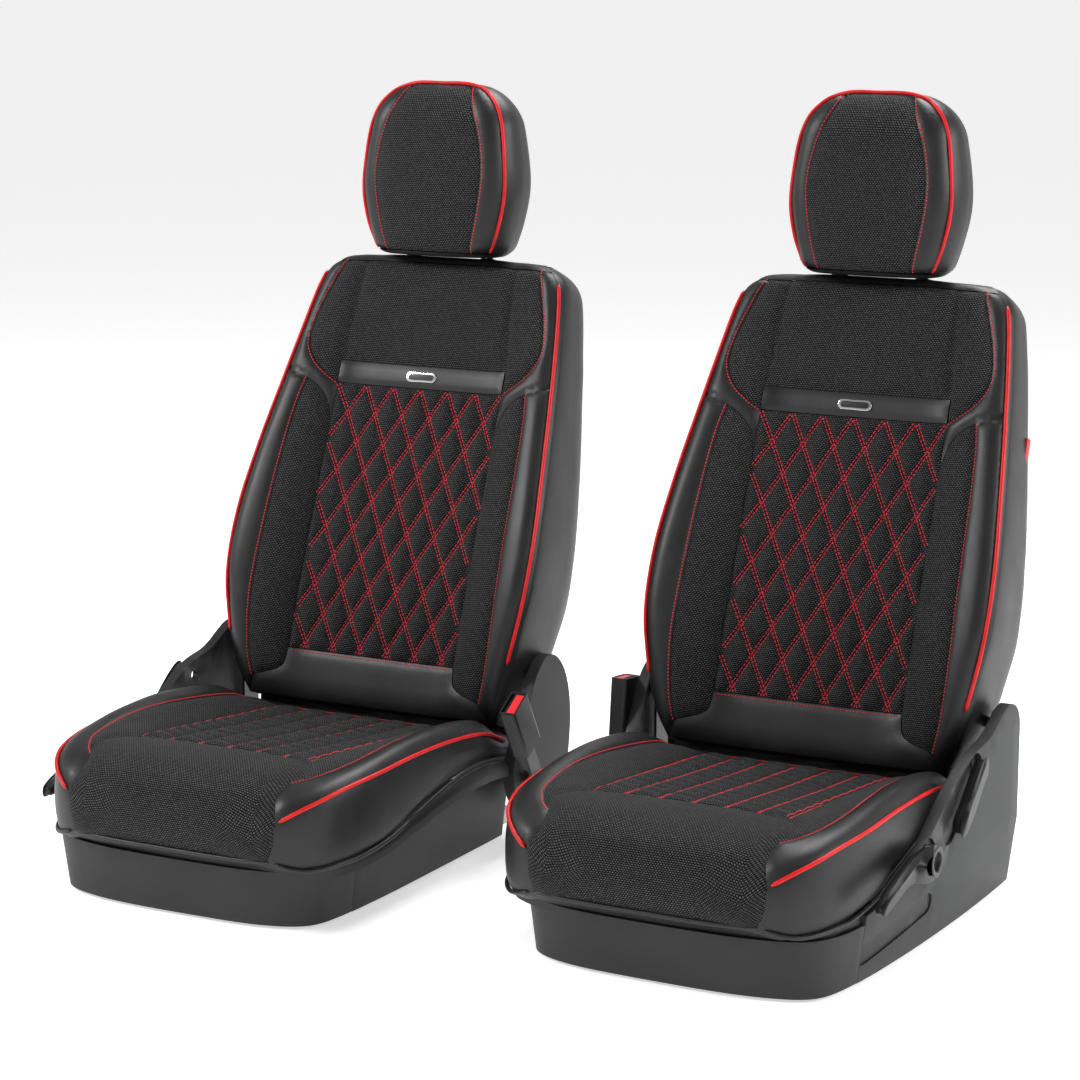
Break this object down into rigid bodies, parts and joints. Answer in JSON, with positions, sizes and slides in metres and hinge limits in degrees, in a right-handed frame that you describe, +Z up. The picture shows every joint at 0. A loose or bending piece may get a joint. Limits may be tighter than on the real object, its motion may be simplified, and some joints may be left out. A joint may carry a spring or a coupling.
{
  "type": "car seat cover set on front seats",
  "caption": "Matching pair of front car seats in a fitted cover set, with quilted inserts, contrast piping, adjustable headrests, recliners, slide rails and buckles.",
  "frame": {"origin": "on the floor under the middle of the pair", "axes": "+X across the pair towards the seat on the right of the front view, -Y the way the seats face, +Z up"},
  "size_m": [1.282, 0.9348, 1.1088],
  "materials": {
    "badge": "polished",
    "cover_leather": "satin",
    "frame_steel": "satin",
    "piping_red": "satin",
    "quilt_fabric": "matte",
    "tag_red": "matte",
    "button_red": "satin",
    "buckle_black": "satin",
    "trim_plastic": "grained",
    "guide_plastic": "satin",
    "lever_plastic": "satin",
    "post_chrome": "polished",
    "slider_steel": "brushed",
    "rail_steel": "satin"
  },
  "bodies": {
    "floor": {"floor_rails": "rail_steel"},
    "driver_seat": {"driver_sliding_rails": "slider_steel", "driver_cushion_frame": "frame_steel", "driver_cushion_cover": "cover_leather", "driver_cushion_quilt": "quilt_fabric", "driver_cushion_piping": "piping_red", "driver_front_trim": "trim_plastic", "driver_inboard_trim": "trim_plastic", "driver_outboard_trim": "trim_plastic", "driver_recliner_cover": "trim_plastic"},
    "driver_back": {"driver_backrest_frame": "frame_steel", "driver_backrest_cover": "cover_leather", "driver_backrest_quilt": "quilt_fabric", "driver_backrest_piping": "piping_red", "driver_backrest_badge": "badge", "driver_backrest_tag": "tag_red", "driver_recliners": "slider_steel", "driver_headrest_guides": "guide_plastic"},
    "driver_head": {"driver_headrest_posts": "post_chrome", "driver_headrest_cover": "cover_leather", "driver_headrest_piping": "piping_red"},
    "driver_height_handle": {"driver_height_lever": "lever_plastic"},
    "driver_recline_handle": {"driver_recline_lever": "lever_plastic"},
    "driver_buckle": {"driver_buckle_stalk": "frame_steel", "driver_buckle_housing": "buckle_black"},
    "driver_release": {"driver_buckle_button": "button_red"},
    "driver_guide_release": {"driver_headrest_button": "guide_plastic"},
    "passenger_seat": {"passenger_sliding_rails": "slider_steel", "passenger_cushion_frame": "frame_steel", "passenger_cushion_cover": "cover_leather", "passenger_cushion_quilt": "quilt_fabric", "passenger_cushion_piping": "piping_red", "passenger_front_trim": "trim_plastic", "passenger_inboard_trim": "trim_plastic", "passenger_outboard_trim": "trim_plastic", "passenger_recliner_cover": "trim_plastic"},
    "passenger_back": {"passenger_backrest_frame": "frame_steel", "passenger_backrest_cover": "cover_leather", "passenger_backrest_quilt": "quilt_fabric", "passenger_backrest_piping": "piping_red", "passenger_backrest_badge": "badge", "passenger_backrest_tag": "tag_red", "passenger_recliners": "slider_steel", "passenger_headrest_guides": "guide_plastic"},
    "passenger_head": {"passenger_headrest_posts": "post_chrome", "passenger_headrest_cover": "cover_leather", "passenger_headrest_piping": "piping_red"},
    "passenger_height_handle": {"passenger_height_lever": "lever_plastic"},
    "passenger_recline_handle": {"passenger_recline_lever": "lever_plastic"},
    "passenger_buckle": {"passenger_buckle_stalk": "frame_steel", "passenger_buckle_housing": "buckle_black"},
    "passenger_release": {"passenger_buckle_button": "button_red"},
    "passenger_guide_release": {"passenger_headrest_button": "guide_plastic"}
  },
  "joints": [
    {"name": "driver_seat_slide", "type": "slide", "parent": "floor", "child": "driver_seat", "axis": [0, 1, 0], "range_m": [-0.1, 0.1]},
    {"name": "driver_recline", "type": "hinge", "parent": "driver_seat", "child": "driver_back", "pos_m": [0.345, 0.1996, 0.24], "axis": [-1, 0, 0], "range_deg": [-4, 45]},
    {"name": "driver_headrest_slide", "type": "slide", "parent": "driver_back", "child": "driver_head", "axis": [0, 0.342, 0.9397], "range_m": [0, 0.06]},
    {"name": "driver_height_pump", "type": "hinge", "parent": "driver_seat", "child": "driver_height_handle", "pos_m": [0.62, -0.1064, 0.128], "axis": [-1, 0, 0], "range_deg": [-20, 20], "stiffness_Nm_per_rad": 2},
    {"name": "driver_recline_pull", "type": "hinge", "parent": "driver_seat", "child": "driver_recline_handle", "pos_m": [0.63, 0.0536, 0.214], "axis": [-1, 0, 0], "range_deg": [0, 25], "stiffness_Nm_per_rad": 2},
    {"name": "driver_buckle_swing", "type": "hinge", "parent": "driver_seat", "child": "driver_buckle", "pos_m": [0.055, 0.1256, 0.104], "axis": [1, 0, 0], "range_deg": [-12, 12]},
    {"name": "driver_buckle_press", "type": "slide", "parent": "driver_buckle", "child": "driver_release", "axis": [0, -0.1045, -0.9945], "range_m": [0, 0.004], "stiffness_N_per_m": 800},
    {"name": "driver_guide_press", "type": "slide", "parent": "driver_back", "child": "driver_guide_release", "axis": [-1, 0, 0], "range_m": [0, 0.002], "stiffness_N_per_m": 1500},
    {"name": "passenger_seat_slide", "type": "slide", "parent": "floor", "child": "passenger_seat", "axis": [0, 1, 0], "range_m": [-0.045, 0.145]},
    {"name": "passenger_recline", "type": "hinge", "parent": "passenger_seat", "child": "passenger_back", "pos_m": [-0.345, 0.1446, 0.24], "axis": [-1, 0, 0], "range_deg": [-4, 45]},
    {"name": "passenger_headrest_slide", "type": "slide", "parent": "passenger_back", "child": "passenger_head", "axis": [0, 0.342, 0.9397], "range_m": [0, 0.06]},
    {"name": "passenger_height_pump", "type": "hinge", "parent": "passenger_seat", "child": "passenger_height_handle", "pos_m": [-0.62, -0.1614, 0.128], "axis": [-1, 0, 0], "range_deg": [-20, 20], "stiffness_Nm_per_rad": 2},
    {"name": "passenger_recline_pull", "type": "hinge", "parent": "passenger_seat", "child": "passenger_recline_handle", "pos_m": [-0.63, -0.0014, 0.214], "axis": [-1, 0, 0], "range_deg": [0, 25], "stiffness_Nm_per_rad": 2},
    {"name": "passenger_buckle_swing", "type": "hinge", "parent": "passenger_seat", "child": "passenger_buckle", "pos_m": [-0.055, 0.0706, 0.104], "axis": [1, 0, 0], "range_deg": [-12, 12]},
    {"name": "passenger_buckle_press", "type": "slide", "parent": "passenger_buckle", "child": "passenger_release", "axis": [0, 0.5, -0.866], "range_m": [0, 0.004], "stiffness_N_per_m": 800},
    {"name": "passenger_guide_press", "type": "slide", "parent": "passenger_back", "child": "passenger_guide_release", "axis": [1, 0, 0], "range_m": [0, 0.002], "stiffness_N_per_m": 1500}
  ]
}
